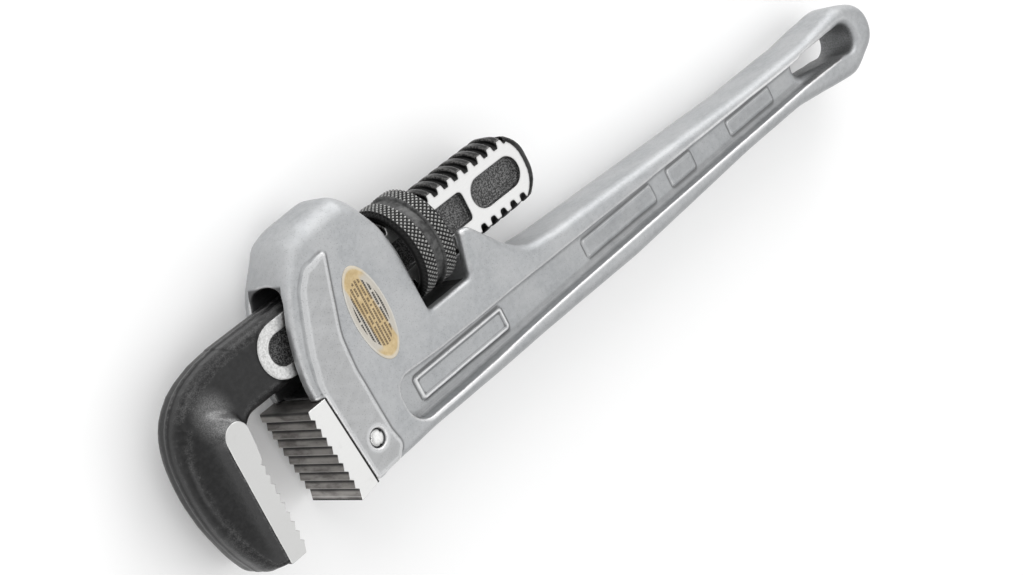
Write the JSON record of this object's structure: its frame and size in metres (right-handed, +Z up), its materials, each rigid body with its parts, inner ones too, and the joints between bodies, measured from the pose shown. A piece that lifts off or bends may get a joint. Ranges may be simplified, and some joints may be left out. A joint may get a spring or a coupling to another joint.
{
  "type": "pipe wrench",
  "caption": "Straight pipe wrench: I-beam cast handle, sprung hook jaw on a threaded shank, knurled adjusting nut and a toothed heel jaw held by a pin.",
  "frame": {"origin": "under the middle of the wrench's bounding box, at the height of the adjusting nut's lowest point, as the tool lies on its side", "axes": "+X runs along the handle from the jaws to the hanging end, +Y points from the jaw mouth towards the spine, +Z up through the thickness"},
  "size_m": [0.3952, 0.0963, 0.0388],
  "materials": {
    "cast_aluminium": "satin cast, lightly tumbled",
    "ground_steel": "ground faces with dark heat-treated teeth",
    "pin_steel": "bright drive pin",
    "black_forging": "black painted forging with ground lands",
    "nut_steel": "dark knurled",
    "spring_steel": "blued spring steel",
    "label_foil": "printed gold foil"
  },
  "bodies": {
    "handle": {"handle": "cast_aluminium", "heel_jaw": "ground_steel", "heel_pin": "pin_steel", "label_front": "label_foil", "label_back": "label_foil"},
    "spring_pack": {"flat_spring": "spring_steel", "coil_spring": "spring_steel", "spring_rivet": "spring_steel"},
    "jaw": {"hook_jaw": "black_forging"},
    "nut": {"nut": "nut_steel"}
  },
  "joints": [
    {"name": "jaw_rock", "type": "hinge", "parent": "handle", "child": "spring_pack", "pos_m": [-0.0713, 0.013, 0.0194], "axis": [0, 0, 1], "range_deg": [-1.5, 2.5], "stiffness_Nm_per_rad": 25, "deforming": ["flat_spring", "coil_spring", "spring_rivet"]},
    {"name": "jaw_slide", "type": "slide", "parent": "spring_pack", "child": "jaw", "axis": [-1, 0, 0], "range_m": [-0.02, 0.046]},
    {"name": "nut_spin", "type": "hinge", "parent": "spring_pack", "child": "nut", "pos_m": [-0.0713, 0.013, 0.0194], "axis": [1, 0, 0], "range_deg": [-1268, 2912]}
  ],
  "couplings": [
    {"joint": "nut_spin", "follows": "jaw_slide", "rad_per_m": 1102.3}
  ]
}
